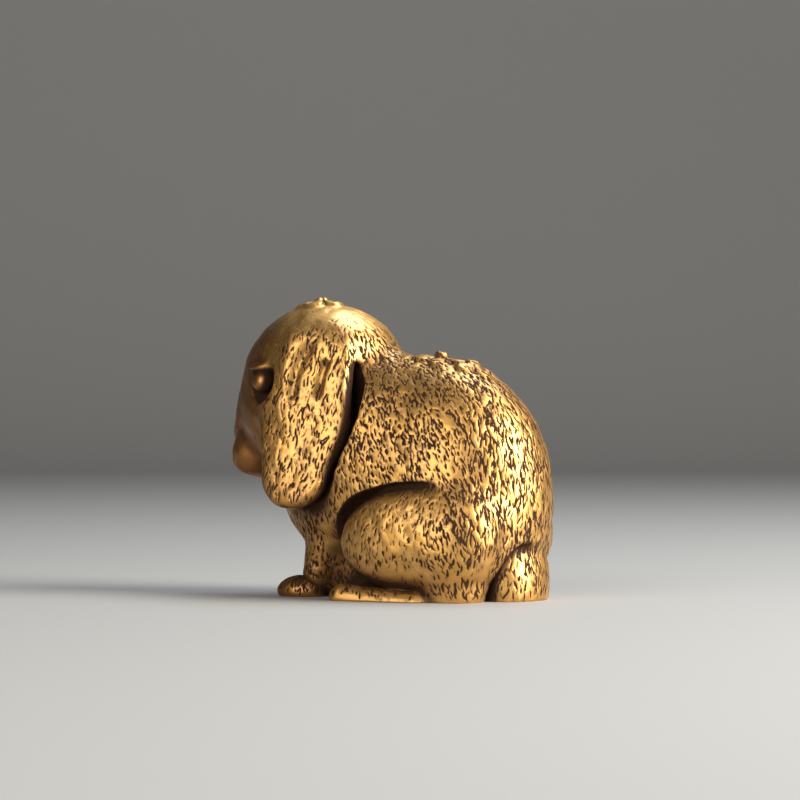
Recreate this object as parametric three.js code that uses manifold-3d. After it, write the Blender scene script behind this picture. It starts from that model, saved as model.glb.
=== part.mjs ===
// Small cast brass rabbit with hanging ears, seated, in millimetres.
// The nose points to -X, the tail to +X, up is +Z, and the underside lies on z = 0.
// One smooth closed form is described by its distance field, turned into a mesh,
// thinned to a few thousand flat faces and cut level at the base.
import * as THREE from 'three';
import { mergeVertices } from 'three/addons/utils/BufferGeometryUtils.js';
import Module from 'manifold-3d';

// Driving dimensions
const HEIGHT = 32;
const CELL = 0.32;
const FACES_WANTED = 9700;
const SKIRT = 0.9;
const SLIVER = 0.12;

// The forms below are laid out in steps, with the figure LAYOUT steps high.
const LAYOUT = 98.15;
const STEP = HEIGHT / LAYOUT;
const LOW = [-62, -37, -SKIRT / STEP];
const HIGH = [54, 37, 100];

// Body: centre and half sizes in steps, pitch in degrees. Paired forms state their +Y side.
const TORSO = { at: [17, 0, 35], size: [36, 28, 42] };
const WITHERS = { at: [0, 0, 56], size: [24, 20, 23.5] };
const CHEST = { at: [-14, 0, 36], size: [26, 22, 25] };
const SHOULDER = { at: [-5, 13, 45], size: [18, 12, 26], pitch: -10 };
const RUMP = { at: [24.5, 0, 22], size: [24.5, 26, 26] };
const BELLY = { at: [-8, 0, 12], size: [20, 14, 22] };

// Head
const HEAD = { at: [-26.3, 0, 69.5], size: [28.7, 22, 26.5] };
const MUZZLE = { at: [-46.5, 0, 53.5], size: [12.5, 10, 16] };
const LIP_PAD = { at: [-50, 5, 46.5], size: [8, 6.5, 7.5] };
const CHEEK = { at: [-34, 9, 58], size: [14, 11, 17] };
const NOSE = { at: [-57, 0, 53.8], size: [3.2, 4.4, 2.9], pitch: 20 };
const SOCKET = { at: [-40, 19.6, 69.8], size: [6.3, 4.4, 6.2] };
const LID = { at: [-40.2, 17.4, 75.1], size: [5.4, 2.5, 1.5] };
const EYE = { at: [-40.5, 17.2, 70.5], size: [3.7, 3.7, 3.8] };

// Face lines, drawn on the front of the muzzle as (z, y) to (z, y), and their width
const FACE_LINES = [
  { from: [52, 0], to: [46.8, 0], wide: 0.8 },
  { from: [46.8, 0], to: [44.9, 3.8], wide: 0.8 },
  { from: [44.9, 3.8], to: [46, 7], wide: 0.8 },
  { from: [53.4, 1.6], to: [54.4, 2.9], wide: 0.7 },
];
const FACE_LINE_DEPTH = 1.2;

// Ear: a paddle hung from EAR_TOP towards EAR_LOW, its outline three discs (down, back, radius)
const EAR_TOP = [-20.1, 18.3, 82];
const EAR_LOW = [-23.9, 25, 42.5];
const EAR_OUT = [0.03, 1, 0.12];
const EAR_DISCS = [[3, 0.9, 11.1], [25, -1.2, 15.6], [42, -1.6, 11.8]];
const EAR_HALF_THICK = 3;
const EAR_EDGE_ROUND = 2.6;
const EAR_BOW = 0.012;
const EAR_TUCK = 0.022;
const EAR_WEB = { at: [-27, 14, 60], size: [10.5, 9.5, 26] };
// Folds at the root of the ear as (down, back) to (down, back), width and depth
const EAR_FOLDS = [
  { from: [1, -2.4], to: [8.7, -5.2], wide: 2.2, deep: 1.3 },
  { from: [8.7, -5.2], to: [17, -5.6], wide: 1.9, deep: 1.2 },
  { from: [6, 4.2], to: [15.5, 3.4], wide: 1.7, deep: 1.2 },
];
// Long hollow down the ear, stated in the same way
const EAR_HOLLOW = { from: [20, 4.5], to: [42, 0], wide: 4.5, deep: 0.7 };
// Slit between the back edge of the ear and the neck
const SLIT_WIDTH = 5.8;
const SLIT_NARROWS = 4.2;
const SLIT_CLOSES = 4.5;

// Hind leg and tail
const HAUNCH = { at: [17.8, 24, 20.2], size: [26.5, 10, 16.9], pitch: -4 };
const HIP = { at: [29, 14, 17], size: [14, 18, 17] };
const HAUNCH_GROOVE = { wide: 2.7, widerInFront: 1.6, deep: 2.6, deeperInFront: 6 };
const HAUNCH_GROOVE_END = 31;
const HAUNCH_GROOVE_FADE = 21;
const FOOT = { from: [-7.3, 26.5, 1], to: [18.5, 27.2, -0.9], radii: [4.5, 4.2] };
const HEEL = { at: [28.5, 19, 3], size: [10.5, 10.5, 8.5] };
const INSTEP = { at: [12, 14, 0], size: [24, 11.5, 7] };
const TAIL = { at: [41, 0, 6], size: [11.2, 15.4, 20] };
const TAIL_GROOVE = { wide: 3, deep: 4.5 };

// Foreleg
const FORELEG = { from: [-16, 9, 34], to: [-23.4, 11, 8], radii: [10, 5.3] };
const FORELEG_INNER = { from: [-16, 6, 34], to: [-22, 6.5, 8], radii: [10, 5.3] };
const PAW = { at: [-29.9, 9.8, 2], size: [8.8, 7, 4.9] };
const PAW_TOE_OFFSET = 2.3;
const FOOT_TOE_OFFSET = 1.7;

// Five-petalled blossoms in low relief along the top: place, turn, radius, rise, boss
const BLOSSOMS = [
  { x: 15.8, turn: 0, size: 9.5, rise: 1, boss: 1.9 },
  { x: 27, turn: 0.5, size: 8, rise: 0.9, boss: 1.4 },
  { x: -28, turn: 0.3, size: 8.5, rise: 1.2, boss: 1.2 },
];

// Places that keep smaller faces: centre and reach, with both sides covered by the +Y one
const FINE_PLACES = [
  { at: [-41, 18, 70.5], reach: 8 },
  { at: [-57, 0, 50], reach: 9 },
  { at: [15.8, 0, 77], reach: 11 },
  { at: [27, 0, 74], reach: 9.5 },
  { at: [-28, 0, 96], reach: 10 },
  { at: [-37, 10, 5], reach: 5 },
];
const FINE_WEIGHT = 12;

const BRASS = { color: 0xb8862f, roughness: 0.34, metalness: 1 };

// Blends between forms
function join(a, b, k) {
  const h = Math.max(k - Math.abs(a - b), 0) / k;
  return Math.min(a, b) - h * h * k * 0.25;
}

function cut(a, b, k) {
  return -join(-a, b, k);
}

function within(a, b, k) {
  return -join(-a, -b, k);
}

function smooth(v, a, b) {
  const t = Math.min(Math.max((v - a) / (b - a), 0), 1);
  return t * t * (3 - 2 * t);
}

function egg(x, y, z, form) {
  let qx = x - form.at[0];
  const qy = y - form.at[1];
  let qz = z - form.at[2];
  if (form.pitch) {
    const angle = THREE.MathUtils.degToRad(form.pitch);
    const c = Math.cos(angle);
    const s = Math.sin(angle);
    const turned = qx * c - qz * s;
    qz = qx * s + qz * c;
    qx = turned;
  }
  const [rx, ry, rz] = form.size;
  const reach = Math.hypot(qx / rx, qy / ry, qz / rz);
  const slope = Math.hypot(qx / (rx * rx), qy / (ry * ry), qz / (rz * rz)) + 1e-6;
  return (reach * (reach - 1)) / slope;
}

function cone(x, y, z, from, to, radii) {
  const dx = to[0] - from[0];
  const dy = to[1] - from[1];
  const dz = to[2] - from[2];
  const qx = x - from[0];
  const qy = y - from[1];
  const qz = z - from[2];
  const along = (qx * dx + qy * dy + qz * dz) / (dx * dx + dy * dy + dz * dz);
  const t = Math.min(Math.max(along, 0), 1);
  return Math.hypot(qx - t * dx, qy - t * dy, qz - t * dz) - (radii[0] + t * (radii[1] - radii[0]));
}

// How strongly a soft line drawn in a plane is felt at (a, b), from 0 to 1
function stroke(a, b, line) {
  const da = line.to[0] - line.from[0];
  const db = line.to[1] - line.from[1];
  const along = ((a - line.from[0]) * da + (b - line.from[1]) * db) / (da * da + db * db);
  const t = Math.min(Math.max(along, 0), 1);
  const away = Math.hypot(a - line.from[0] - t * da, b - line.from[1] - t * db);
  return Math.exp(-((away / line.wide) ** 2));
}

// The ear's own directions: down its length, out from the head, and back across it
const earTop = new THREE.Vector3(...EAR_TOP);
const earDown = new THREE.Vector3(...EAR_LOW).sub(earTop).normalize();
const earOut = new THREE.Vector3(...EAR_OUT);
earOut.addScaledVector(earDown, -earOut.dot(earDown)).normalize();
const earBack = new THREE.Vector3().crossVectors(earDown, earOut);
if (earBack.x < 0) {
  earBack.negate();
}

function earPlace(x, y, z) {
  const qx = x - earTop.x;
  const qy = y - earTop.y;
  const qz = z - earTop.z;
  const down = qx * earDown.x + qy * earDown.y + qz * earDown.z;
  const back = qx * earBack.x + qy * earBack.y + qz * earBack.z;
  const out = qx * earOut.x + qy * earOut.y + qz * earOut.z;
  const bowed = out + EAR_BOW * back * back + EAR_TUCK * Math.max(10 - down, 0) ** 2;
  return [down, back, bowed];
}

// Plane distance to two discs and the straight sides that join them
function discStrip(t, w, a, b) {
  const dt = b[0] - a[0];
  const dw = b[1] - a[1];
  const length = Math.hypot(dt, dw);
  const along = ((t - a[0]) * dt + (w - a[1]) * dw) / length;
  const off = Math.abs((t - a[0]) * dw - (w - a[1]) * dt) / length;
  const k = (a[2] - b[2]) / length;
  const lean = Math.sqrt(1 - k * k);
  const s = (along * lean - off * k) / lean;
  if (s < 0) {
    return Math.hypot(along, off) - a[2];
  }
  if (s > length) {
    return Math.hypot(along - length, off) - b[2];
  }
  return off * lean + along * k - a[2];
}

function ear(place, grow) {
  const [t, w, bowed] = place;
  const upper = discStrip(t, w, EAR_DISCS[0], EAR_DISCS[1]);
  const lower = discStrip(t, w, EAR_DISCS[1], EAR_DISCS[2]);
  const flat = join(upper, lower, 3) - grow;
  const n = bowed + EAR_HOLLOW.deep * stroke(t, w, EAR_HOLLOW);
  const half = EAR_HALF_THICK + grow;
  const edge = EAR_EDGE_ROUND + grow;
  const dx = flat + edge;
  const dy = Math.abs(n) - half + edge;
  return Math.min(Math.max(dx, dy), 0) + Math.hypot(Math.max(dx, 0), Math.max(dy, 0)) - edge;
}

function blossom(x, y, flower) {
  const dx = x - flower.x;
  const away = Math.hypot(dx, y);
  const wave = Math.cos(2.5 * (Math.atan2(y, dx) + flower.turn));
  const reach = flower.size * (0.62 + 0.38 * Math.abs(wave));
  const petal = smooth(away, reach + 1.1, reach - 1.1);
  const seam = 1 - 0.55 * Math.exp(-(((wave * away) / 1.6) ** 2));
  return flower.rise * petal * seam + flower.boss * Math.exp(-((away / 2.3) ** 6));
}

// Distance to the figure in steps, negative inside
function figure(x, side, z) {
  const y = Math.sqrt(side * side + 0.04);
  let d = join(egg(x, side, z, TORSO), egg(x, side, z, CHEST), 10);
  d = join(d, egg(x, y, z, SHOULDER), 8);
  d = join(d, egg(x, side, z, WITHERS), 6);

  let face = join(egg(x, side, z, HEAD), egg(x, side, z, MUZZLE), 9);
  face = join(face, egg(x, y, z, CHEEK), 6);
  face = join(face, egg(x, y, z, LIP_PAD), 2.5);
  d = join(d, face, 4);

  const place = earPlace(x, y, z);
  const [down, back] = place;
  const narrower = SLIT_NARROWS * smooth(down, 14, 50) + SLIT_CLOSES * smooth(down, 15, 2);
  const behindEar = within(ear(place, SLIT_WIDTH - narrower), 1 - back, 3);
  d = cut(d, behindEar + 8 * smooth(z, 76, 86), 0.9);
  d = join(d, egg(x, y, z, EAR_WEB), 2);
  const melt = 8 * smooth(z, 72, 88) + 4 * smooth(back, 0, -10) * smooth(z, 48, 64);
  d = join(d, ear(place, 0), 1 + melt);
  const folds = Math.max(...EAR_FOLDS.map((line) => line.deep * stroke(down, back, line)));
  d += folds * smooth(place[2], -7, -3);

  d = join(d, egg(x, side, z, RUMP), 8);
  d = join(d, egg(x, side, z, BELLY), 3);
  const haunch = egg(x, y, z, HAUNCH);
  const inFront = smooth(x, 8, -8);
  const pressed = HAUNCH_GROOVE.deep + HAUNCH_GROOVE.deeperInFront * inFront;
  const wide = HAUNCH_GROOVE.wide + HAUNCH_GROOVE.widerInFront * inFront;
  const forward = smooth(x, HAUNCH_GROOVE_END, HAUNCH_GROOVE_END - HAUNCH_GROOVE_FADE);
  d += pressed * smooth(haunch, wide, 0.8) * forward;
  d = join(d, join(haunch, egg(x, y, z, HIP), 7), 0.8 + 6 * smooth(x, 18, 38));
  d = join(d, cone(x, y, z, FOOT.from, FOOT.to, FOOT.radii), 0.8);
  d = join(d, egg(x, y, z, HEEL), 4);
  d = join(d, egg(x, y, z, INSTEP), 2);

  const outer = cone(x, y, z, FORELEG.from, FORELEG.to, FORELEG.radii);
  const inner = cone(x, y, z, FORELEG_INNER.from, FORELEG_INNER.to, FORELEG_INNER.radii);
  d = join(d, join(outer, inner, 2), 4);
  let paw = egg(x, y, z, PAW);
  for (const way of [-1, 1]) {
    const across = PAW.at[1] + way * PAW_TOE_OFFSET;
    paw = cut(paw, cone(x, y, z, [-40, across, 3], [-32, across, 7.2], [0.7, 0.7]), 1);
  }
  d = join(d, paw, 1);
  for (const way of [-1, 1]) {
    const across = FOOT.from[1] + way * FOOT_TOE_OFFSET;
    d = cut(d, cone(x, y, z, [-13.5, across, 3], [-5, across, 6.6], [0.6, 0.6]), 1);
  }

  const tail = egg(x, side, z, TAIL);
  const beside = smooth(z, 21, 14) * smooth(y, 4, 9);
  d += TAIL_GROOVE.deep * smooth(tail, TAIL_GROOVE.wide, 0.8) * beside;
  d = join(d, tail, 0.8 + 6 * smooth(z, 13, 24));

  d = cut(d, egg(x, y, z, SOCKET), 1.5);
  d = join(d, egg(x, y, z, LID), 0.8);
  d = join(d, egg(x, y, z, EYE), 0.4);
  d = join(d, egg(x, side, z, NOSE), 1);
  const lines = Math.max(...FACE_LINES.map((line) => stroke(z, y, line)));
  d += FACE_LINE_DEPTH * lines * smooth(x, -44, -50);

  const relief = Math.max(...BLOSSOMS.map((flower) => blossom(x, side, flower)));
  return d - relief * smooth(z, 55, 62);
}

// Surface mesh by splitting each grid cell into six tetrahedra. Far cells are skipped in blocks.
// Grooves raise the field by up to FIELD_SLACK steps over the true distance.
const BLOCK = 4;
const FIELD_SLACK = 9;
const TETRAHEDRA = [[1, 3], [1, 5], [2, 3], [2, 6], [4, 5], [4, 6]];

function surfaceMesh() {
  const cell = CELL / STEP;
  const counts = LOW.map((v, i) => Math.ceil((HIGH[i] - v) / cell / BLOCK) * BLOCK + 1);
  const [nx, ny] = counts;
  const at = (i, axis) => LOW[axis] + i * cell;
  const values = new Float64Array(nx * ny * counts[2]).fill(NaN);
  const value = (i, j, k) => {
    const index = (k * ny + j) * nx + i;
    if (Number.isNaN(values[index])) {
      values[index] = k === 0 ? 1 : figure(at(i, 0), at(j, 1), at(k, 2)) || 1e-9;
    }
    return values[index];
  };
  const points = [];
  const faces = [];
  const known = new Map();
  const corner = (i, j, k, c) => [i + (c & 1), j + ((c >> 1) & 1), k + ((c >> 2) & 1)];
  const crossing = (a, b, va, vb) => {
    const low = Math.min((a[2] * ny + a[1]) * nx + a[0], (b[2] * ny + b[1]) * nx + b[0]);
    const way = Math.abs(a[0] - b[0]) + 2 * Math.abs(a[1] - b[1]) + 4 * Math.abs(a[2] - b[2]);
    const key = low * 8 + way;
    if (!known.has(key)) {
      const t = Math.min(Math.max(va / (va - vb), 0.12), 0.88);
      known.set(key, points.length / 3);
      for (let axis = 0; axis < 3; axis += 1) {
        points.push(at(a[axis] + t * (b[axis] - a[axis]), axis) * STEP);
      }
    }
    return known.get(key);
  };
  const cellFaces = (i, j, k) => {
    const corners = [0, 1, 2, 3, 4, 5, 6, 7].map((c) => corner(i, j, k, c));
    const v = corners.map((c) => value(c[0], c[1], c[2]));
    if (Math.min(...v) > 0 || Math.max(...v) < 0) {
      return;
    }
    for (const [first, second] of TETRAHEDRA) {
      const tet = [0, first, second, 7];
      const inside = tet.filter((c) => v[c] < 0);
      const outside = tet.filter((c) => v[c] >= 0);
      if (inside.length === 0 || outside.length === 0) {
        continue;
      }
      const cross = (p, q) => crossing(corners[p], corners[q], v[p], v[q]);
      const pairs = inside.flatMap((p) => outside.map((q) => cross(p, q)));
      const [one, two, three, four] = pairs;
      const halves = [[one, two, four], [one, four, three]];
      const triangles = pairs.length === 3 ? [pairs] : halves;
      const outward = new THREE.Vector3();
      outside.forEach((c) => outward.add(new THREE.Vector3(...corners[c]).divideScalar(outside.length)));
      inside.forEach((c) => outward.sub(new THREE.Vector3(...corners[c]).divideScalar(inside.length)));
      for (const [a, b, c] of triangles) {
        const normal = faceNormal(points, a, b, c);
        faces.push(...(normal.dot(outward) > 0 ? [a, b, c] : [a, c, b]));
      }
    }
  };
  const reach = (BLOCK * cell * Math.sqrt(3)) / 2;
  for (let k = 0; k + BLOCK < counts[2]; k += BLOCK) {
    for (let j = 0; j + BLOCK < ny; j += BLOCK) {
      for (let i = 0; i + BLOCK < nx; i += BLOCK) {
        const middle = [i, j, k].map((v, axis) => at(v + BLOCK / 2, axis));
        if (Math.abs(figure(...middle)) > reach + FIELD_SLACK && k > 0) {
          continue;
        }
        for (let n = 0; n < BLOCK ** 3; n += 1) {
          const row = Math.floor(n / BLOCK);
          cellFaces(i + (n % BLOCK), j + (row % BLOCK), k + Math.floor(row / BLOCK));
        }
      }
    }
  }
  return { points, faces };
}

function faceNormal(points, a, b, c) {
  const p = new THREE.Vector3().fromArray(points, a * 3);
  const q = new THREE.Vector3().fromArray(points, b * 3).sub(p);
  const r = new THREE.Vector3().fromArray(points, c * 3).sub(p);
  return q.cross(r);
}

function longestSide(points, a, b, c) {
  let longest = 0;
  for (const [p, q] of [[a, b], [b, c], [c, a]]) {
    const dx = points[p * 3] - points[q * 3];
    const dy = points[p * 3 + 1] - points[q * 3 + 1];
    const dz = points[p * 3 + 2] - points[q * 3 + 2];
    longest = Math.max(longest, dx * dx + dy * dy + dz * dz);
  }
  return longest;
}

// Thinning: the edge whose removal moves the surface least goes first.
// A quadric holds the ten sums that give the squared distance to a set of planes.
function planeQuadric(points, a, b, c) {
  const normal = faceNormal(points, a, b, c);
  const size = normal.length();
  if (size < 1e-12) {
    return new Float64Array(10);
  }
  const { x, y, z } = normal.divideScalar(size);
  const d = -(x * points[a * 3] + y * points[a * 3 + 1] + z * points[a * 3 + 2]);
  const sums = [x * x, x * y, x * z, x * d, y * y, y * z, y * d, z * z, z * d, d * d];
  return Float64Array.from(sums, (v) => v * size);
}

function quadricError(q, x, y, z) {
  const squares = q[0] * x * x + q[4] * y * y + q[7] * z * z + q[9];
  return squares + 2 * (q[1] * x * y + q[2] * x * z + q[3] * x + q[5] * y * z + q[6] * y + q[8] * z);
}

function bestPlace(q, p, r) {
  const middle = [(p[0] + r[0]) / 2, (p[1] + r[1]) / 2, (p[2] + r[2]) / 2];
  const m = new THREE.Matrix3().set(q[0], q[1], q[2], q[1], q[4], q[5], q[2], q[5], q[7]);
  const trace = q[0] + q[4] + q[7];
  if (Math.abs(m.determinant()) < 1e-4 * trace ** 3) {
    return middle;
  }
  const v = new THREE.Vector3(-q[3], -q[6], -q[8]).applyMatrix3(m.invert());
  const span = Math.hypot(p[0] - r[0], p[1] - r[1], p[2] - r[2]);
  const moved = Math.hypot(v.x - middle[0], v.y - middle[1], v.z - middle[2]);
  return moved < 1.5 * span ? [v.x, v.y, v.z] : middle;
}

class Queue {
  constructor() {
    this.items = [];
  }

  push(item) {
    const { items } = this;
    let child = items.length;
    items.push(item);
    while (child > 0) {
      const parent = (child - 1) >> 1;
      if (items[parent].cost <= item.cost) {
        break;
      }
      items[child] = items[parent];
      child = parent;
    }
    items[child] = item;
  }

  pop() {
    const { items } = this;
    const first = items[0];
    const item = items.pop();
    if (items.length === 0) {
      return first;
    }
    let parent = 0;
    for (;;) {
      let child = 2 * parent + 1;
      if (child >= items.length) {
        break;
      }
      if (child + 1 < items.length && items[child + 1].cost < items[child].cost) {
        child += 1;
      }
      if (items[child].cost >= item.cost) {
        break;
      }
      items[parent] = items[child];
      parent = child;
    }
    items[parent] = item;
    return first;
  }
}

function fineness(point) {
  const [x, side, z] = point.map((c) => c / STEP);
  const y = Math.abs(side);
  const fine = FINE_PLACES.some(({ at, reach }) => Math.hypot(x - at[0], y - at[1], z - at[2]) < reach);
  return fine ? FINE_WEIGHT : 1;
}

function thin(points, faces, wanted) {
  const total = points.length / 3;
  const quadrics = Array.from({ length: total }, () => new Float64Array(10));
  const around = Array.from({ length: total }, () => new Set());
  const stamps = new Int32Array(total);
  const gone = new Uint8Array(faces.length / 3);
  for (let f = 0; f < gone.length; f += 1) {
    const ring = faces.slice(f * 3, f * 3 + 3);
    const weight = fineness(points.slice(ring[0] * 3, ring[0] * 3 + 3));
    const q = planeQuadric(points, ...ring).map((v) => v * weight);
    for (const v of ring) {
      around[v].add(f);
      for (let n = 0; n < 10; n += 1) {
        quadrics[v][n] += q[n];
      }
    }
  }
  const corners = (f) => [faces[f * 3], faces[f * 3 + 1], faces[f * 3 + 2]];
  const neighbours = (v) => {
    const found = new Set();
    for (const f of around[v]) {
      corners(f).forEach((c) => found.add(c));
    }
    found.delete(v);
    return found;
  };
  const queue = new Queue();
  const offer = (a, b) => {
    const q = quadrics[a].map((v, n) => v + quadrics[b][n]);
    const p = points.slice(a * 3, a * 3 + 3);
    const r = points.slice(b * 3, b * 3 + 3);
    const place = bestPlace(q, p, r);
    const length = (p[0] - r[0]) ** 2 + (p[1] - r[1]) ** 2 + (p[2] - r[2]) ** 2;
    const cost = quadricError(q, ...place) + 1e-4 * length * length;
    queue.push({ cost, a, b, place, tries: 0, stampA: stamps[a], stampB: stamps[b] });
  };
  for (let v = 0; v < total; v += 1) {
    neighbours(v).forEach((other) => other > v && offer(v, other));
  }
  const flips = (v, other, place) => {
    const kept = points.slice(v * 3, v * 3 + 3);
    let turned = false;
    for (const f of around[v]) {
      const ring = corners(f);
      if (ring.includes(other)) {
        continue;
      }
      const before = faceNormal(points, ...ring);
      const wasFair = before.length() > SLIVER * longestSide(points, ...ring);
      place.forEach((c, n) => {
        points[v * 3 + n] = c;
      });
      const after = faceNormal(points, ...ring);
      const isSliver = after.length() < SLIVER * longestSide(points, ...ring);
      kept.forEach((c, n) => {
        points[v * 3 + n] = c;
      });
      if ((isSliver && wasFair) || after.dot(before) < 0.3 * after.length() * before.length()) {
        turned = true;
        break;
      }
    }
    return turned;
  };
  let left = gone.length;
  while (left > wanted && queue.items.length > 0) {
    const item = queue.pop();
    const { a, b, place } = item;
    if (stamps[a] !== item.stampA || stamps[b] !== item.stampB) {
      continue;
    }
    const near = neighbours(a);
    const shared = [...neighbours(b)].filter((v) => near.has(v));
    if (shared.length !== 2 || flips(a, b, place) || flips(b, a, place)) {
      item.cost = 2 * item.cost + 1e-7;
      item.tries += 1;
      if (item.tries < 9) {
        queue.push(item);
      }
      continue;
    }
    for (const f of around[b]) {
      const ring = corners(f);
      if (ring.includes(a)) {
        gone[f] = 1;
        left -= 1;
        ring.forEach((c) => c !== b && around[c].delete(f));
      } else {
        faces[f * 3 + ring.indexOf(b)] = a;
        around[a].add(f);
      }
    }
    around[b] = new Set();
    place.forEach((v, n) => {
      points[a * 3 + n] = v;
    });
    for (let n = 0; n < 10; n += 1) {
      quadrics[a][n] += quadrics[b][n];
    }
    stamps[b] = -1;
    stamps[a] += 1;
    const rim = neighbours(a);
    rim.forEach((v) => offer(a, v));
  }
  return faces.filter((v, n) => gone[Math.floor(n / 3)] === 0);
}

// Moves a thinned vertex back onto the true surface, and one close to the base onto the base.
function settle(points, v) {
  const p = points.slice(v * 3, v * 3 + 3);
  const probe = 0.2;
  for (let round = 0; round < 2; round += 1) {
    const q = p.map((c) => c / STEP);
    const d = figure(...q);
    const slope = [0, 1, 2].map((axis) => {
      const ahead = [...q];
      const behind = [...q];
      ahead[axis] += probe;
      behind[axis] -= probe;
      return (figure(...ahead) - figure(...behind)) / (2 * probe);
    });
    const steep = Math.max(slope[0] ** 2 + slope[1] ** 2 + slope[2] ** 2, 0.3);
    const step = Math.min(Math.max(d / steep, -0.5), 0.5) * STEP;
    slope.forEach((c, axis) => {
      p[axis] -= step * c;
    });
  }
  if (Math.abs(p[2]) < 0.06) {
    p[2] = 0;
  }
  return p;
}

function geometryOf(points, faces) {
  const used = [...new Set(faces)];
  const renumbered = new Map(used.map((v, n) => [v, n]));
  const geometry = new THREE.BufferGeometry();
  const positions = used.flatMap((v) => settle(points, v));
  geometry.setAttribute('position', new THREE.Float32BufferAttribute(positions, 3));
  geometry.setIndex(faces.map((v) => renumbered.get(v)));
  return geometry;
}

const wasm = await Module();
wasm.setup();

function solidOf(geometry) {
  return new wasm.Manifold(new wasm.Mesh({
    numProp: 3,
    vertProperties: geometry.attributes.position.array,
    triVerts: Uint32Array.from(geometry.index.array),
  }));
}

// Everything under the base plane is cut off, which leaves a flat underside.
function levelBase(geometry) {
  const below = new THREE.BoxGeometry(4 * HEIGHT, 4 * HEIGHT, HEIGHT);
  below.translate(0, 0, -HEIGHT / 2);
  below.deleteAttribute('normal');
  below.deleteAttribute('uv');
  const mesh = solidOf(geometry).subtract(solidOf(mergeVertices(below))).getMesh();
  const level = new THREE.BufferGeometry();
  level.setAttribute('position', new THREE.Float32BufferAttribute(mesh.vertProperties, 3));
  level.setIndex([...mesh.triVerts]);
  return level;
}

const { points, faces } = surfaceMesh();
const thinned = thin(points, faces, FACES_WANTED);
const geometry = levelBase(geometryOf(points, thinned));
geometry.computeBoundingBox();
const { min, max } = geometry.boundingBox;
geometry.translate(-(min.x + max.x) / 2, -(min.y + max.y) / 2, 0);
geometry.computeVertexNormals();

const rabbit = new THREE.Mesh(geometry, new THREE.MeshStandardMaterial(BRASS));
rabbit.name = 'rabbit';

const object = new THREE.Group();
object.add(rabbit);

export default object;
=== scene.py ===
"""Small cast brass rabbit: fine surface with fur marks, worn brass and dark patina."""

import math

import bpy
import numpy as np
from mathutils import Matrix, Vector


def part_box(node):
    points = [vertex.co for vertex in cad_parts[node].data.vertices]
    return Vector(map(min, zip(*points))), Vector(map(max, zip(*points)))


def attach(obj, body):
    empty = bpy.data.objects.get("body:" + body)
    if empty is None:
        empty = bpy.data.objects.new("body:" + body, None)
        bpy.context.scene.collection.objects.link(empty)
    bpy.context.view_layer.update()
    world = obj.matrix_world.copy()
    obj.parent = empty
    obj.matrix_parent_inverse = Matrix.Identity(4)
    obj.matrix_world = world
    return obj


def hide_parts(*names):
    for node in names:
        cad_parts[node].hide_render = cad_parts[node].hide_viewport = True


SINGLE = np.float32

# The form is laid out in steps, with the figure HEIGHT_STEPS high: x to the tail, z up
HEIGHT = 0.032
HEIGHT_STEPS = 98.15
STEP = HEIGHT / HEIGHT_STEPS

# Grid that the surface is found on, its corners in steps, and how fine the mesh may be
CELL = 0.31
LOW = (-62.0, -37.0, -4 * CELL)
HIGH = (54.0, 37.0, 100.0)
BLOCK = 6
BLOCK_MARGIN = 1.5
FAR = 9.0
TRIANGLES = 190000

# Body: centre and half sizes in steps, pitch in degrees. Paired forms state their +Y side.
TORSO = ((17, 0, 35), (36, 28, 42))
CHEST = ((-14, 0, 36), (26, 22, 25))
SHOULDER = ((-5, 13, 45), (18, 12, 26), -10)
WITHERS = ((0, 0, 56), (24, 20, 23.5))
RUMP = ((24.5, 0, 22), (24.5, 26, 26))
BELLY = ((-8, 0, 12), (20, 14, 22))
MIDDLE_ROUND = 0.04

# Head
HEAD = ((-26.3, 0, 69.5), (28.7, 22, 26.5))
MUZZLE = ((-46.5, 0, 53.5), (12.5, 10, 16))
CHEEK = ((-34, 9, 58), (14, 11, 17))
LIP_PAD = ((-50, 5, 46.5), (8, 6.5, 7.5))
NOSE = ((-57.0, 0, 53.8), (3.2, 4.4, 2.9), 20)
SOCKET = ((-40, 19.6, 69.8), (6.3, 4.4, 6.2))
LID = ((-40.2, 17.4, 75.1), (5.4, 2.5, 1.6))
EYE = ((-40.5, 17.2, 70.5), (3.7, 3.7, 3.8))

# Nose and mouth lines on the front of the muzzle, as z, y to z, y, and their width
FACE_LINES = (
    (52, 0, 46.8, 0, 0.8),
    (46.8, 0, 44.9, 3.8, 0.8),
    (44.9, 3.8, 46.0, 7.0, 0.8),
    (53.4, 1.6, 54.4, 2.9, 0.7),
)
FACE_LINE_DEPTH = 1.2

# Ear: hung from its top towards its low point, outline in three discs (down, back, radius)
EAR_TOP, EAR_LOW = (-20.1, 18.3, 82.0), (-23.9, 25.0, 42.5)
EAR_OUT = (0.03, 1.0, 0.12)
EAR_DISCS = ((3.0, 0.9, 11.1), (25.0, -1.2, 15.6), (42.0, -1.6, 11.8))
EAR_HALF = 3.0
EAR_EDGE = 2.6
EAR_BOW = 0.012
EAR_TUCK = 0.022
EAR_WEB = ((-27, 14, 60), (10.5, 9.5, 26))

# Hollow and folds of the ear, as down, back to down, back, their width, and apart their depth
EAR_HOLLOW, EAR_HOLLOW_DEPTH = (20, 4.5, 42, 0.0, 4.5), 0.7
EAR_FOLDS = (
    ((1, -2.4, 8.7, -5.2, 2.2), 1.3),
    ((8.7, -5.2, 17, -5.6, 1.9), 1.2),
    ((6, 4.2, 15.5, 3.4, 1.7), 1.2),
)

# Slit behind the ear: how far it reaches past the ear, and how much less at its two ends
SLIT_WIDTH = 5.8
SLIT_NARROWS = 4.2
SLIT_CLOSES = 4.5

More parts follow.
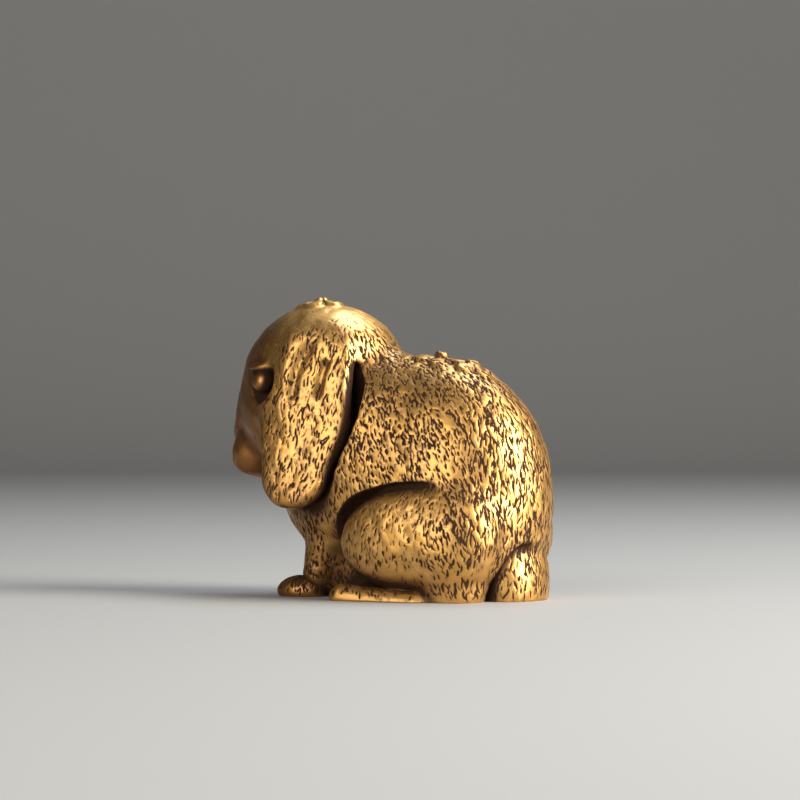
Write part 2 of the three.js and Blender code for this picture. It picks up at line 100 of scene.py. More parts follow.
# Hind leg and tail
HAUNCH = ((17.8, 24, 20.2), (26.5, 10, 16.9), -4)
HIP = ((29, 14, 17), (14, 18, 17))
HAUNCH_GROOVE_WIDE, HAUNCH_GROOVE_WIDER = 2.7, 1.6
HAUNCH_GROOVE_DEEP, HAUNCH_GROOVE_DEEPER = 2.6, 6
FOOT = ((-7.3, 26.5, 1.0), (18.5, 27.2, -0.9), 4.5, 4.2)
HEEL = ((28.5, 19, 3), (10.5, 10.5, 8.5))
INSTEP = ((12, 14, 0), (24, 11.5, 7))
TAIL = ((41, 0, 6), (11.2, 15.4, 20))
TAIL_GROOVE_WIDE, TAIL_GROOVE_DEEP = 3, 4.5

# Foreleg, and the cuts between toes: distance from the middle toe, front x, z, back x, z, radius
FORELEG = ((-16, 9, 34), (-23.4, 11, 8), 10, 5.3)
FORELEG_INNER = ((-16, 6, 34), (-22.0, 6.5, 8), 10, 5.3)
PAW = ((-29.9, 9.8, 2.0), (8.8, 7.0, 4.9))
PAW_TOES = (2.3, (-40, 3), (-32, 7.2), 0.7)
FOOT_TOES = (1.7, (-13.5, 3), (-5, 6.6), 0.6)

# Five-petalled blossoms along the top: place, turn, radius, rise, boss
BLOSSOMS = ((15.8, 0.0, 9.5, 1.0, 1.9), (27, 0.5, 8.0, 0.9, 1.4), (-28, 0.3, 8.5, 1.2, 1.2))

# Fur marks, in steps, and the spread of their direction in radians
MARK_SEED = 11
MARK_SHARE = 0.05
MARK_SPACING = 1.15
MARK_REACH = 2.4
MARK_LENGTH = 1.0
MARK_WIDTH = 0.28
MARK_DEPTH = 0.18
MARK_SPREAD = 0.26
MARK_BEND = 0.05

# Distances at which the surroundings of a point are felt for its patina and painted shade
HOLLOW_REACHES = (2.2, 4.2, 6.5)

# Colours of the metal, from bright to deep in a groove, where patina and painted shade darken it, and
# of the floor
PALE_GOLD = (0.82, 0.48, 0.15)
DEEP_GOLD = (0.70, 0.375, 0.095)
# Brown of patina and painted shade on the face and breast
BROWN_PATINA_AND_SHADE = (0.17, 0.044, 0.006)
SOILED = (0.20, 0.076, 0.018)
# Brown of patina and painted shade in the hollows
HOLLOW_PATINA_AND_SHADE = (0.13, 0.052, 0.016)
# Near-black of the marks' patina and of painted shade deep in the grooves
GROOVE_DARK = (0.036, 0.016, 0.007)
FLOOR = (0.33, 0.325, 0.314)

# Photograph's view
AZIMUTH, ELEVATION = 25.0, 0.5
DISTANCE = 1300.0
PIXELS_PER_STEP = 3.05
PICTURE = 800.0
BASE_PIXEL = (398.0, 596.5)
SENSOR = 36

# Lamps: azimuth and elevation in degrees, distance and size in metres, watts, colour
LAMPS = {
    "key": (90, 22, 0.40, (0.24, 0.34), 4.6, (1.0, 0.97, 0.92)),
    "front": (-6, 20, 0.45, (0.36, 0.36), 1.6, (1.0, 0.95, 0.88)),
    "top": (165, 62, 0.36, (0.24, 0.14), 0.9, (0.84, 0.92, 1.0)),
}
ROOM_COLOUR, ROOM_LIGHT = (0.9, 0.92, 1.0, 1), 0.08


# Forms as distance fields
def ellipsoid(p, centre, radii, pitch=0.0):
    q = p - np.array(centre, SINGLE)
    if pitch:
        c, s = math.cos(math.radians(pitch)), math.sin(math.radians(pitch))
        q = np.stack([q[:, 0] * c - q[:, 2] * s, q[:, 1], q[:, 0] * s + q[:, 2] * c], 1)
    r = np.array(radii, SINGLE)
    reach = np.sqrt(((q / r) ** 2).sum(1))
    slope = np.sqrt(((q / (r * r)) ** 2).sum(1)) + 1e-6
    return reach * (reach - 1) / slope


def cone(p, a, b, ra, rb):
    """Distance to a round bar from a to b whose radius goes from ra to rb."""
    a, b = np.array(a, SINGLE), np.array(b, SINGLE)
    d = b - a
    t = np.clip(((p - a) @ d) / (d @ d), 0, 1)
    return np.sqrt(((p - a - t[:, None] * d) ** 2).sum(1)) - (ra + t * (rb - ra))


def join(a, b, k):
    """Both forms as one, rounded over k where they meet."""
    h = np.maximum(k - np.abs(a - b), 0) / k
    return np.minimum(a, b) - h * h * k * 0.25


def cut(a, b, k):
    return -join(-a, b, k)


def within(a, b, k):
    return -join(-a, -b, k)


def smooth(x, a, b):
    """Soft step from 0 at a to 1 at b."""
    t = np.clip((x - a) / (b - a), 0, 1)
    return t * t * (3 - 2 * t)


def stroke(a, b, a0, b0, a1, b1, wide):
    """How strongly a soft line from (a0, b0) to (a1, b1) is felt at (a, b), from 0 to 1."""
    t = np.clip(((a - a0) * (a1 - a0) + (b - b0) * (b1 - b0)) / ((a1 - a0) ** 2 + (b1 - b0) ** 2), 0, 1)
    away2 = (a - a0 - t * (a1 - a0)) ** 2 + (b - b0 - t * (b1 - b0)) ** 2
    return np.exp(-away2 / wide**2)


def strongest(fields):
    return np.max(fields, axis=0)


def ear_axes():
    top, low = np.array(EAR_TOP, SINGLE), np.array(EAR_LOW, SINGLE)
    down = (low - top) / np.linalg.norm(low - top)
    out = np.array(EAR_OUT, SINGLE)
    out = out - down * (out @ down)
    out /= np.linalg.norm(out)
    back = np.cross(down, out)
    return top, down, (back if back[0] > 0 else -back), out


def ear_place(p):
    """Where points lie on the ear: down its length, back across it and out from the head."""
    top, down, back, out = ear_axes()
    q = p - top
    t, w, n = q @ down, q @ back, q @ out
    return t, w, n + EAR_BOW * w * w + EAR_TUCK * np.maximum(10 - t, 0) ** 2


def disc_strip(t, w, a, b):
    """Plane distance to two discs and the straight sides that join them."""
    dt, dw = b[0] - a[0], b[1] - a[1]
    length = math.hypot(dt, dw)
    along = ((t - a[0]) * dt + (w - a[1]) * dw) / length
    off = np.abs((t - a[0]) * dw - (w - a[1]) * dt) / length
    k = (a[2] - b[2]) / length
    lean = math.sqrt(1 - k * k)
    s = (along * lean - off * k) / lean
    first = np.sqrt(along**2 + off**2) - a[2]
    last = np.sqrt((along - length) ** 2 + off**2) - b[2]
    return np.where(s < 0, first, np.where(s > length, last, off * lean + along * k - a[2]))


def ear(place, grow=0.0):
    t, w, n = place
    a, b, c = EAR_DISCS
    flat = join(disc_strip(t, w, a, b), disc_strip(t, w, b, c), 3) - grow
    hollow = EAR_HOLLOW_DEPTH * stroke(t, w, *EAR_HOLLOW)
    half, edge = EAR_HALF + grow, EAR_EDGE + grow
    dx, dy = flat + edge, np.abs(n + hollow) - half + edge
    return np.minimum(np.maximum(dx, dy), 0) + np.hypot(np.maximum(dx, 0), np.maximum(dy, 0)) - edge


def blossom(p, x0, turn, size, rise, boss):
    """How far a blossom round x0 on the middle line lifts the surface."""
    dx, dy = p[:, 0] - x0, p[:, 1]
    away = np.hypot(dx, dy)
    wave = np.cos(2.5 * (np.arctan2(dy, dx) + turn))
    reach = size * (0.62 + 0.38 * np.abs(wave))
    petal = smooth(away, reach + 1.1, reach - 1.1)
    seam = 1 - 0.55 * np.exp(-((wave * away / 1.4) ** 2))
    return rise * petal * seam + boss * np.exp(-((away / 2.3) ** 6))


def part_toes(form, f, middle, offset, front, back, radius):
    """A shallow cut on each side of the middle toe."""
    for side in (-offset, offset):
        y = middle + side
        form = cut(form, cone(f, (front[0], y, front[1]), (back[0], y, back[1]), radius, radius), 1.0)
    return form


# The figure's parts take the points p, and f, the same folded over onto the +Y side
def trunk(p, f):
    d = join(ellipsoid(p, *TORSO), ellipsoid(p, *CHEST), 10)
    d = join(d, ellipsoid(f, *SHOULDER), 8)
    return join(d, ellipsoid(p, *WITHERS), 6)


def head(p, f):
    d = join(ellipsoid(p, *HEAD), ellipsoid(p, *MUZZLE), 9)
    d = join(d, ellipsoid(f, *CHEEK), 6)
    return join(d, ellipsoid(f, *LIP_PAD), 2.5)


def with_ear(d, f):
    z = f[:, 2]
    place = ear_place(f)
    t, w, n = place
    grow = SLIT_WIDTH - SLIT_NARROWS * smooth(t, 14, 50) - SLIT_CLOSES * smooth(t, 15, 2)
    slit = within(ear(place, grow), -(w - 1.0), 3) + 8 * smooth(z, 76, 86)
    d = cut(d, slit, 0.9)
    d = join(d, ellipsoid(f, *EAR_WEB), 2)
    melt = 8 * smooth(z, 72, 88) + 4 * smooth(w, 0, -10) * smooth(z, 48, 64)
    d = join(d, ear(place), 1.0 + melt)
    folds = strongest([deep * stroke(t, w, *line) for line, deep in EAR_FOLDS])
    return d + folds * smooth(n, -7, -3)


def with_hind_leg(d, p, f):
    x = f[:, 0]
    d = join(d, ellipsoid(p, *RUMP), 8)
    d = join(d, ellipsoid(p, *BELLY), 3)
    haunch = ellipsoid(f, *HAUNCH)
    front = smooth(x, 8, -8)
    wide = HAUNCH_GROOVE_WIDE + HAUNCH_GROOVE_WIDER * front
    deep = HAUNCH_GROOVE_DEEP + HAUNCH_GROOVE_DEEPER * front
    d = d + deep * smooth(haunch, wide, 0.8) * smooth(x, 31, 10)
    d = join(d, join(haunch, ellipsoid(f, *HIP), 7), 0.8 + 6 * smooth(x, 18, 38))
    d = join(d, cone(f, *FOOT), 0.8)
    d = join(d, ellipsoid(f, *HEEL), 4)
    return join(d, ellipsoid(f, *INSTEP), 2)


def with_foreleg(d, f):
    d = join(d, join(cone(f, *FORELEG), cone(f, *FORELEG_INNER), 2), 4)
    return join(d, part_toes(ellipsoid(f, *PAW), f, PAW[0][1], *PAW_TOES), 1.0)


def with_tail(d, p, f):
    y, z = f[:, 1], f[:, 2]
    tail = ellipsoid(p, *TAIL)
    d = d + TAIL_GROOVE_DEEP * smooth(tail, TAIL_GROOVE_WIDE, 0.8) * smooth(z, 21, 14) * smooth(y, 4, 9)
    return join(d, tail, 0.8 + 6 * smooth(z, 13, 24))


def with_face(d, p, f):
    x, y, z = f[:, 0], f[:, 1], f[:, 2]
    d = cut(d, ellipsoid(f, *SOCKET), 1.5)
    d = join(d, ellipsoid(f, *LID), 1.6)
    d = join(d, ellipsoid(f, *EYE), 0.4)
    d = join(d, ellipsoid(p, *NOSE), 1.0)
    lines = strongest([stroke(z, y, *line) for line in FACE_LINES])
    return d + FACE_LINE_DEPTH * lines * smooth(x, -44, -50)


def figure(p):
    """Distance to the figure in steps, negative inside."""
    f = p.copy()
    f[:, 1] = np.sqrt(f[:, 1] ** 2 + MIDDLE_ROUND)
    z = f[:, 2]
    d = join(trunk(p, f), head(p, f), 4)
    d = with_ear(d, f)
    d = with_hind_leg(d, p, f)
    d = with_foreleg(d, f)
    d = part_toes(d, f, FOOT[0][1], *FOOT_TOES)
    d = with_tail(d, p, f)
    d = with_face(d, p, f)
    relief = strongest([blossom(p, *flower) for flower in BLOSSOMS])
    d = d - relief * smooth(z, 55, 62)
    return np.maximum(d, -z)


def in_parts(points, function, size=400000):
    return np.concatenate([function(points[i : i + size]) for i in range(0, len(points), size)])


# The eight corners of a grid cell
CORNERS = [np.array([c & 1, (c >> 1) & 1, (c >> 2) & 1]) for c in range(8)]


def field_on_grid(low, high):
    """Distances at the grid points near the surface; blocks further off get only their sign."""
    shape = np.ceil((high - low) / CELL).astype(int) + 1
    blocks = -(-shape // BLOCK)
    grid = np.stack(np.meshgrid(*[np.arange(n) for n in blocks], indexing="ij"), -1).reshape(-1, 3)
    middles = in_parts((low + (grid + 0.5) * BLOCK * CELL).astype(SINGLE), figure)
    near = np.abs(middles) < 1.4 * BLOCK * CELL + BLOCK_MARGIN
    field = np.full(tuple(blocks * BLOCK), FAR, SINGLE)
    offsets = np.stack(np.meshgrid(*[np.arange(BLOCK)] * 3, indexing="ij"), -1).reshape(-1, 3)
    index = (grid[near][:, None] * BLOCK + offsets[None]).reshape(-1, 3)
    field[tuple(index.T)] = in_parts((low + index * CELL).astype(SINGLE), figure)
    for i, j, k in grid[~near & (middles < 0)] * BLOCK:
        field[i : i + BLOCK, j : j + BLOCK, k : k + BLOCK] = -FAR
    return field


def cell_points(field, cells, low):
    """One point in each crossed cell: the mean of where the surface cuts the cell's edges."""
    total = np.zeros((len(cells), 3), np.float64)
    hits = np.zeros(len(cells))
    for axis in range(3):
        for corner in CORNERS:
            if corner[axis]:
                continue
            end = corner.copy()
            end[axis] = 1
            a = field[tuple((cells + corner).T)]
            b = field[tuple((cells + end).T)]
            crossed = (a < 0) != (b < 0)
            t = np.where(crossed, a / np.where(crossed, a - b, 1), 0)
            spot = cells + corner + t[:, None] * (end - corner)
            total += spot * crossed[:, None]
            hits += crossed
    return (low + total / hits[:, None] * CELL).astype(SINGLE)


def cell_quads(inside, number):
    """A face across each grid edge that the surface cuts, through the four cells around it."""
    quads = []
    for axis in range(3):
        one, two = [n for n in range(3) if n != axis]
        first = [slice(1, -1)] * 3
        first[axis] = slice(0, -1)
        second = list(first)
        second[axis] = slice(1, None)
        cross = inside[tuple(first)] != inside[tuple(second)]
        edges = np.argwhere(cross) + np.array([0 if n == axis else 1 for n in range(3)])
        step = np.eye(3, dtype=int)
        around = [edges - step[one] - step[two], edges - step[two], edges, edges - step[one]]
        ring = np.stack([number[tuple(a.T)] for a in around], 1)
        turn = inside[tuple(edges.T)]
        if axis == 1:
            turn = ~turn
        ring[~turn] = ring[~turn][:, ::-1]
        quads.append(ring)
    quads = np.concatenate(quads)
    return quads[(quads >= 0).all(1)]


def surface():
    """Points and quads over the zero of the distance field."""
    low, high = np.array(LOW, SINGLE), np.array(HIGH, SINGLE)
    field = field_on_grid(low, high)
    inside = field < 0
    nx, ny, nz = np.array(field.shape) - 1
    count = sum(inside[i : i + nx, j : j + ny, k : k + nz].astype(np.uint8) for i, j, k in CORNERS)
    active = (count > 0) & (count < 8)
    cells = np.argwhere(active)
    number = np.full(active.shape, -1, np.int32)
    number[tuple(cells.T)] = np.arange(len(cells))
    return cell_points(field, cells, low), cell_quads(inside, number)


def settle(points):
    """Two steps onto the true surface; what lies on the base stays there."""
    for _ in range(2):
        base = points[:, 2] < 0.02
        d = in_parts(points, figure)
        grad = np.empty_like(points)
        for axis in range(3):
            ahead = points.copy()
            ahead[:, axis] += 0.1
            grad[:, axis] = (in_parts(ahead, figure) - d) / 0.1
        steep = np.maximum((grad**2).sum(1), 0.3)
        moved = points - (np.clip(d / steep, -0.4, 0.4))[:, None] * grad
        points = np.where(base[:, None], points, moved).astype(SINGLE)
    points[:, 2] = np.maximum(points[:, 2], 0)
    return points


def vertex_normals(points, quads):
    a, b, c, d = (points[quads[:, n]] for n in range(4))
    face = np.cross(c - a, d - b)
    normals = np.zeros_like(points)
    for n in range(4):
        np.add.at(normals, quads[:, n], face)
    return normals / (np.linalg.norm(normals, axis=1, keepdims=True) + 1e-9)


def noise(p, scale, seed):
    """Smooth random field, about -1 to 1."""
    rng = np.random.default_rng(seed)
    total = np.zeros(len(p), SINGLE)
    for _ in range(10):
        way = rng.normal(size=3)
        way = (way / np.linalg.norm(way) * rng.uniform(0.6, 1.5) / scale).astype(SINGLE)
        total += np.sin(p @ way * 6.2832 + rng.uniform(0, 6.28))
    return total / 3.2


def folded(points):
    """The points brought over to the +Y side."""
    f = points.copy()
    f[:, 1] = np.abs(f[:, 1])
    return f


def coat(points, normals):
    """Where the fur marks go, which way they lean, how long and how deep, for points on the surface."""
    f = folded(points)
    x, z = f[:, 0], f[:, 2]
    t, w, n = ear_place(f)
    a, b, c = EAR_DISCS
    flat = np.minimum(disc_strip(t, w, a, b), disc_strip(t, w, b, c))
    on_ear = smooth(flat, 0.0, -1.5) * smooth(n, -1.5, 0.5) * smooth(z, 90, 80)
    face = smooth(x, -30, -38) * (1 - on_ear)
    crown = smooth(z, 84, 92) * smooth(x, 0, -6)
    rump = smooth(x, 26, 42)
    haunch = smooth(ellipsoid(f, *HAUNCH), 1.2, 0.2) * smooth(x, 40, 26)
    flank = (1 - on_ear) * (1 - face) * (1 - haunch) * (1 - rump)
    density = 0.85 * on_ear + 0.15 * face + 1.3 * flank + 0.7 * haunch + 0.9 * rump
    density *= 1 - 0.8 * crown
    density *= 1 - 0.55 * smooth(z, 70, 77) * smooth(x, 4, 12)
    density *= 1 - 0.6 * smooth(cone(f, *FOOT), 0.9, 0.1)
    density *= smooth(z, 0.8, 3.0) * np.where(normals[:, 2] < -0.35, 0.15, 1.0)
    lean = -0.42 * flank * smooth(x, -14, 6) + 0.16 * on_ear + 0.12 * haunch
    length = 1.0 + 0.5 * rump + 0.15 * on_ear
    depth = 0.85 * on_ear + 0.5 * face + 1.0 * flank + 0.8 * haunch + 1.0 * rump
    return density, lean, length, depth * (1 - 0.5 * crown)


def mark_places(points, density, rng):
    """Points that a mark is centred on, no two in one cell of the spacing."""
    weight = np.clip(density * (1 + 0.35 * noise(points, 9.0, 5)), 0, None)
    order = rng.permutation(len(points))
    picked = order[rng.random(len(points)) < weight[order] * MARK_SHARE]
    spots = np.floor(points[picked] / (MARK_SPACING, MARK_SPACING, 1.6 * MARK_SPACING)).astype(int)
    return picked[np.unique(spots, axis=0, return_index=True)[1]]


def by_cell(keys):
    """Numbers of the points in each cell."""
    sort = np.lexsort((keys[:, 2], keys[:, 1], keys[:, 0]))
    change = np.flatnonzero(np.any(np.diff(keys[sort], axis=0) != 0, axis=1)) + 1
    return {tuple(keys[part[0]]): part for part in np.split(sort, change)}


def upright_flow(normal):
    """Directions up along the surface and across it, the second towards the tail."""
    flow = np.array([0, 0, 1], SINGLE) - normal * normal[2]
    size = np.linalg.norm(flow)
    if size < 0.25:
        flow = np.array([1, 0, 0], SINGLE) - normal * normal[0]
        size = np.linalg.norm(flow)
    flow = flow / size
    side = np.cross(normal, flow)
    return flow, side if side[0] > 0 else -side


def fur_marks(points, normals):
    """Depth of the cut marks at each vertex, and how soiled it is beside them."""
    rng = np.random.default_rng(MARK_SEED)
    density, lean, length, depth = coat(points, normals)
    marks = np.zeros(len(points), SINGLE)
    soil = np.zeros(len(points), SINGLE)
    keys = np.floor(points / MARK_REACH).astype(int)
    buckets = by_cell(keys)
    steps = [(a, b, c) for a in (-1, 0, 1) for b in (-1, 0, 1) for c in (-1, 0, 1)]
    for i in mark_places(points, density, rng):
        flow, side = upright_flow(normals[i])
        angle = lean[i] + rng.normal(0, MARK_SPREAD)
        along = flow * math.cos(angle) + side * math.sin(angle)
        across = side * math.cos(angle) - flow * math.sin(angle)
        long = MARK_LENGTH * length[i] * rng.uniform(0.65, 1.5)
        wide = MARK_WIDTH * rng.uniform(0.75, 1.35)
        deep = MARK_DEPTH * depth[i] * rng.uniform(0.55, 1.15)
        bend = rng.normal(0, MARK_BEND)
        around = [buckets.get(tuple(keys[i] + step)) for step in steps]
        near = np.concatenate([part for part in around if part is not None])
        q = points[near] - points[i]
        s = q @ along
        c = q @ across + bend * s * s
        facing = normals[near] @ normals[i] > 0.4
        taper = np.clip(1 - (s / long) ** 2, 0, 1)
        groove = deep * np.sqrt(taper) * np.exp(-((c / wide) ** 2)) * facing
        marks[near] = np.maximum(marks[near], groove)
        halo = depth[i] * np.exp(-((c / (2.5 * wide)) ** 2) - (s / (1.4 * long)) ** 2) * facing
        soil[near] = np.maximum(soil[near], halo)
    return marks, soil


# Used to paint shade, as well as patina, into the hollows
def hollowness(points, normals):
    """How shut in each place is, from 0 in the open to 1 deep in a groove."""
    side = np.cross(normals, np.array([0.31, 0.17, 0.93], SINGLE))
    side /= np.linalg.norm(side, axis=1, keepdims=True) + 1e-6
    other = np.cross(normals, side)
    total = np.zeros(len(points), SINGLE)
    ways = [(1.0, 0 * side)] + [(0.7, 0.714 * turn) for turn in (side, -side, other, -other)]
    for rise, lean in ways:
        way = normals * rise + lean
        free = np.ones(len(points), SINGLE)
        for reach in HOLLOW_REACHES:
            gap = in_parts((points + way * reach).astype(SINGLE), figure)
            free = np.minimum(free, np.clip(gap / (reach * rise), 0, 1))
        total += free
    return 1 - total / len(ways)


def worn(points):
    """Where handling keeps low places bright: the outer side of the feet and the tail."""
    f = folded(points)
    foot = smooth(cone(f, *FOOT), 0.9, 0.1) * smooth(f[:, 1], 25, 28.5)
    tail = smooth(ellipsoid(points, *TAIL), 0.9, 0.1) * smooth(f[:, 1] + f[:, 0], 55.5, 60)
    return np.maximum(0.85 * foot, 0.75 * tail)


def browned_and_shaded(points):
    """Where the brass is painted browner: the face, as patina and painted shade on its shadow side,
    darker towards the base, and painted shade on the breast under the ears.
    """
    x, z = points[:, 0], points[:, 2]
    # Face: patina and painted shade
    face = 0.92 * smooth(x, -32, -44)
    low = 0.22 * smooth(z, 20, 2) * smooth(x, 36, 24)
    # Breast under the ears: painted shade
    breast = 0.5 * smooth(x, -8, -26) * smooth(z, 46, 30)
    return np.clip(face + low + breast, 0, 1)


def uneven(points, marks, cavity):
    """How far each point moves out for the marks and the casting's soft lumps; none at the base."""
    lumps = 0.12 * noise(points, 7.0, 2) + 0.04 * noise(points, 2.6, 3)
    lumps *= 0.4 + 0.6 * smooth(points[:, 2], 3, 12)
    low = smooth(points[:, 2], 0.3, 2.5)
    return (-marks + lumps * (1 - 0.6 * np.clip(cavity, 0, 1))) * low


def quad_mesh(name, points, quads):
    mesh = bpy.data.meshes.new(name)
    mesh.vertices.add(len(points))
    mesh.vertices.foreach_set("co", points.astype(SINGLE).ravel())
    mesh.loops.add(quads.size)
    mesh.loops.foreach_set("vertex_index", quads.ravel().astype(np.int32))
    mesh.polygons.add(len(quads))
    mesh.polygons.foreach_set("loop_start", np.arange(0, quads.size, 4, dtype=np.int32))
    mesh.update(calc_edges=True)
    mesh.validate()
    mesh.polygons.foreach_set("use_smooth", np.ones(len(mesh.polygons), bool))
    return mesh


def make_figure(material):
    """The dressed figure, and how far it was moved along x to stand over the solid's middle."""
    points, quads = surface()
    points = settle(points)
    normals = vertex_normals(points, quads)
    marks, soil = fur_marks(points, normals)
    # Painted shade and patina in the hollows, taken off where the brass is worn bright
    cavity = hollowness(points, normals) * (1 - worn(points))
    placed = (points + normals * uneven(points, marks, cavity)[:, None]) * STEP
    lo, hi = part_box("rabbit")
    middle = (points.min(0) + points.max(0)) / 2 * STEP
    shift_x = (lo[0] + hi[0]) / 2 - middle[0]
    placed[:, 0] += shift_x
    placed[:, 1] += (lo[1] + hi[1]) / 2 - middle[1]
    placed[:, 2] = np.maximum(placed[:, 2], 0)

    mesh = quad_mesh("rabbit_surface", placed, quads)
    layers = {
        "mark": marks / MARK_DEPTH,
        "soil": soil,
        "cavity": cavity,
        "coat": np.clip(coat(points, normals)[0], 0, 1),
        "brown_and_shade": browned_and_shaded(points),
    }
    for name, values in layers.items():
        layer = mesh.attributes.new(name, "FLOAT", "POINT")
        layer.data.foreach_set("value", values.astype(SINGLE))
    mesh.materials.append(material)
    obj = bpy.data.objects.new("rabbit_surface", mesh)
    bpy.context.scene.collection.objects.link(obj)
    triangles = 2 * len(quads)
    if triangles > TRIANGLES:
        thin = obj.modifiers.new("thin", "DECIMATE")
        thin.ratio = TRIANGLES / triangles
    return obj, shift_x


# Looks
def nodes_of(material):
    material.use_nodes = True
    tree = material.node_tree
    tree.nodes.clear()
    return tree


def brass():
    """Worn gold metal that browns with patina and soil, takes painted shade on the face, under the ears
    and in the hollows, and goes dark and dull in the marks and grooves with patina and painted shade.
    """
    material = bpy.data.materials.new("worn_brass")
    tree = nodes_of(material)
    new, link = tree.nodes.new, tree.links.new

    def maths(kind, a, b=None):
        node = new("ShaderNodeMath")
        node.operation = kind
        for socket, value in zip(node.inputs, (a, b)):
            if value is None:
                continue
            if isinstance(value, (int, float)):
                socket.default_value = value
            else:
                link(value, socket)
        return node.outputs[0]

    def attribute(name):
        node = new("ShaderNodeAttribute")
        node.attribute_name = name
        return node.outputs["Fac"]

    def texture(scale, detail, rough=0.6):
        node = new("ShaderNodeTexNoise")
        link(place, node.inputs["Vector"])
        node.inputs["Scale"].default_value = scale
        node.inputs["Detail"].default_value = detail
        node.inputs["Roughness"].default_value = rough
        return node.outputs["Fac"]

    def ramp(value, low, high):
        node = new("ShaderNodeMapRange")
        node.interpolation_type = "SMOOTHSTEP"
        link(value, node.inputs["Value"])
        node.inputs["From Min"].default_value = low
        node.inputs["From Max"].default_value = high
        return node.outputs["Result"]

    def mix(amount, a, b):
        node = new("ShaderNodeMix")
        node.data_type = "RGBA"
        link(amount, node.inputs["Factor"])
        for socket, value in ((node.inputs[6], a), (node.inputs[7], b)):
            if isinstance(value, tuple):
                socket.default_value = (*value, 1)
            else:
                link(value, socket)
        return node.outputs[2]

    place = new("ShaderNodeTexCoord").outputs["Object"]
    mark, hollow = attribute("mark"), attribute("cavity")
    cloud = texture(260, 4)
    speck = texture(2600, 3)
    grain = texture(5200, 2)

    stretch = new("ShaderNodeMapping")
    stretch.inputs["Scale"].default_value = (1, 1, 0.36)
    stretch.inputs["Rotation"].default_value = (0, 0.25, 0)
    link(place, stretch.inputs["Vector"])
    nicks = new("ShaderNodeTexVoronoi")
    nicks.inputs["Scale"].default_value = 2100
    link(stretch.outputs[0], nicks.inputs["Vector"])
    chance = new("ShaderNodeSeparateColor")
    link(nicks.outputs["Color"], chance.inputs[0])
    reach = maths("MULTIPLY", ramp(chance.outputs[0], 0.25, 1.0), 0.34)
    nick = ramp(maths("SUBTRACT", reach, nicks.outputs["Distance"]), 0.0, 0.12)
    nick = maths("MULTIPLY", nick, attribute("coat"))

    # Dark of the marks, nicks and specks, with painted shade deep in the hollows
    shade = maths("ADD", ramp(mark, 0.18, 0.56), ramp(hollow, 0.27, 0.54))
    shade = maths("ADD", shade, maths("MULTIPLY", nick, 0.8))
    loose = maths("MULTIPLY", ramp(speck, 0.50, 0.62), ramp(cloud, 0.42, 0.70))
    shade = maths("ADD", shade, maths("MULTIPLY", loose, 0.45))
    shade = maths("MINIMUM", shade, 1.0)

    gold = mix(ramp(cloud, 0.3, 0.7), DEEP_GOLD, PALE_GOLD)
    # Patina and painted shade browning the face and breast, and darker towards the base
    gold = mix(maths("MULTIPLY", attribute("brown_and_shade"), 0.85), gold, BROWN_PATINA_AND_SHADE)
    patches = maths("ADD", 0.38, maths("MULTIPLY", ramp(cloud, 0.35, 0.65), 0.45))
    tinge = maths("MULTIPLY", attribute("soil"), patches)
    gold = mix(tinge, gold, SOILED)
    # Painted shade and patina browning the hollows
    gold_darkened_in_hollows = mix(maths("MULTIPLY", ramp(hollow, 0.06, 0.38), 0.85), gold, HOLLOW_PATINA_AND_SHADE)
    colour = mix(shade, gold_darkened_in_hollows, GROOVE_DARK)

    rough = maths("ADD", 0.37, maths("MULTIPLY", cloud, 0.14))
    rough = maths("ADD", rough, maths("MULTIPLY", shade, 0.38))
    metal = maths("SUBTRACT", 1.0, maths("MULTIPLY", shade, 0.8))
    gloss = maths("SUBTRACT", 0.5, maths("MULTIPLY", shade, 0.4))

    bump = new("ShaderNodeBump")
    bump.inputs["Strength"].default_value = 0.25
    bump.inputs["Distance"].default_value = 0.00004
    height = maths("ADD", speck, maths("MULTIPLY", grain, 0.5))
    link(maths("SUBTRACT", height, maths("MULTIPLY", nick, 1.6)), bump.inputs["Height"])

    shader = new("ShaderNodeBsdfPrincipled")
    link(colour, shader.inputs["Base Color"])
    link(rough, shader.inputs["Roughness"])
    link(metal, shader.inputs["Metallic"])
    link(gloss, shader.inputs["Specular IOR Level"])
    link(bump.outputs[0], shader.inputs["Normal"])
    link(maths("MULTIPLY", maths("SUBTRACT", 1.0, shade), 0.30), shader.inputs["Coat Weight"])
    shader.inputs["Coat Roughness"].default_value = 0.26
    out = new("ShaderNodeOutputMaterial")
    link(shader.outputs[0], out.inputs["Surface"])
    return material


def plain(name, colour, roughness):
    material = bpy.data.materials.new(name)
    tree = nodes_of(material)
    shader = tree.nodes.new("ShaderNodeBsdfPrincipled")
    shader.inputs["Base Color"].default_value = (*colour, 1)
    shader.inputs["Roughness"].default_value = roughness
    out = tree.nodes.new("ShaderNodeOutputMaterial")
    tree.links.new(shader.outputs[0], out.inputs["Surface"])
    return material


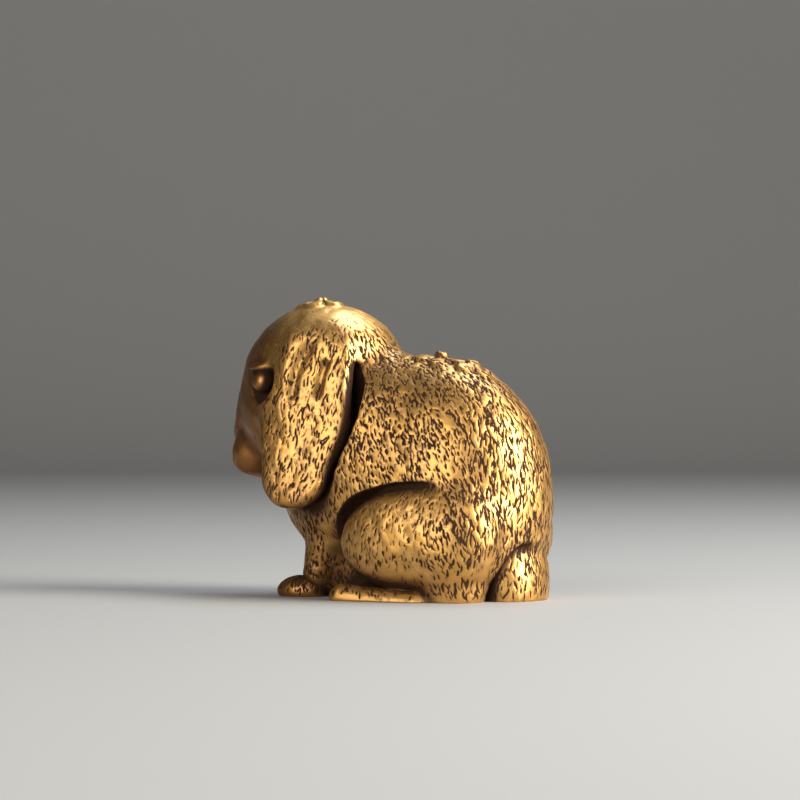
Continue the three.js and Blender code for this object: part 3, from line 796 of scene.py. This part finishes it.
def sweep():
    """Pale floor that curves up into a backdrop behind the figure."""
    wide, front, deep, bend, tall = 1.2, -0.9, 0.5, 0.25, 1.0
    turns = np.linspace(0.1, math.pi / 2, 14)
    profile = [(front, 0.0), (deep, 0.0)]
    profile += [(deep + bend * math.sin(a), bend - bend * math.cos(a)) for a in turns]
    profile.append((deep + bend, tall))
    a = math.radians(AZIMUTH)
    right, away = Vector((math.cos(a), math.sin(a), 0)), Vector((-math.sin(a), math.cos(a), 0))
    vertices, faces = [], []
    for back, up in profile:
        for side in (-wide, wide):
            vertices.append(right * side + away * back + Vector((0, 0, up)))
    for n in range(len(profile) - 1):
        faces.append((2 * n, 2 * n + 1, 2 * n + 3, 2 * n + 2))
    mesh = bpy.data.meshes.new("sweep")
    mesh.from_pydata(vertices, [], faces)
    mesh.polygons.foreach_set("use_smooth", np.ones(len(faces), bool))
    mesh.materials.append(plain("pale_floor", FLOOR, 0.7))
    obj = bpy.data.objects.new("sweep", mesh)
    bpy.context.scene.collection.objects.link(obj)
    return obj


def outward(azimuth, elevation):
    """Direction from the figure to a camera or lamp."""
    a, e = math.radians(azimuth), math.radians(elevation)
    return Vector((math.sin(a) * math.cos(e), -math.cos(a) * math.cos(e), math.sin(e)))


def add_facing(name, data, place, back):
    """An object in the scene that looks against the direction back."""
    obj = bpy.data.objects.new(name, data)
    obj.location = place
    obj.rotation_mode = "QUATERNION"
    obj.rotation_quaternion = (-back).to_track_quat("-Z", "Y")
    bpy.context.scene.collection.objects.link(obj)
    return obj


def lamp(name, azimuth, elevation, distance, size, power, colour):
    """Soft rectangular light aimed at the figure's middle; azimuth as the camera's."""
    data = bpy.data.lights.new(name, "AREA")
    data.shape = "RECTANGLE"
    data.size, data.size_y = size
    data.energy = power
    data.color = colour
    back = outward(azimuth, elevation)
    add_facing(name, data, Vector((0, 0, HEIGHT / 2)) + back * distance, back)


def camera(shift_m):
    """At the photograph's angle, so that the figure falls where it does in the picture."""
    back = outward(AZIMUTH, ELEVATION)
    a = math.radians(AZIMUTH)
    right = Vector((math.cos(a), math.sin(a), 0))
    up = right.cross(-back)
    distance = DISTANCE * STEP
    scale = PIXELS_PER_STEP / STEP
    off_right = (PICTURE / 2 - BASE_PIXEL[0]) / scale
    off_up = (BASE_PIXEL[1] - PICTURE / 2) / scale
    data = bpy.data.cameras.new("camera")
    data.sensor_width = SENSOR
    data.lens = SENSOR * distance * scale / PICTURE
    data.clip_start, data.clip_end = 0.01, 10
    data.dof.use_dof = False
    place = Vector((shift_m, 0, 0)) + back * distance + right * off_right + up * off_up
    bpy.context.scene.camera = add_facing("camera", data, place, back)


def room():
    """Faint even light from all round, shown without a film curve."""
    world = bpy.data.worlds.new("room")
    bpy.context.scene.world = world
    world.use_nodes = True
    background = world.node_tree.nodes["Background"]
    background.inputs["Color"].default_value = ROOM_COLOUR
    background.inputs["Strength"].default_value = ROOM_LIGHT
    bpy.context.scene.view_settings.view_transform = "Standard"


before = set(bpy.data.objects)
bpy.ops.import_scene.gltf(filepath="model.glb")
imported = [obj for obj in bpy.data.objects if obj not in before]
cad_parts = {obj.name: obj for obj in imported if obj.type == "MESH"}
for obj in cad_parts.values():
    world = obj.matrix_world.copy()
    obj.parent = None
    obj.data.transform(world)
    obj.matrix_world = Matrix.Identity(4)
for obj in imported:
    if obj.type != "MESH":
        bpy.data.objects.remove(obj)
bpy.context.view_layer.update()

rabbit, middle_x = make_figure(brass())
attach(rabbit, "root")
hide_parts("rabbit")

camera(middle_x)
sweep()
for lamp_name, values in LAMPS.items():
    lamp(lamp_name, *values)
room()
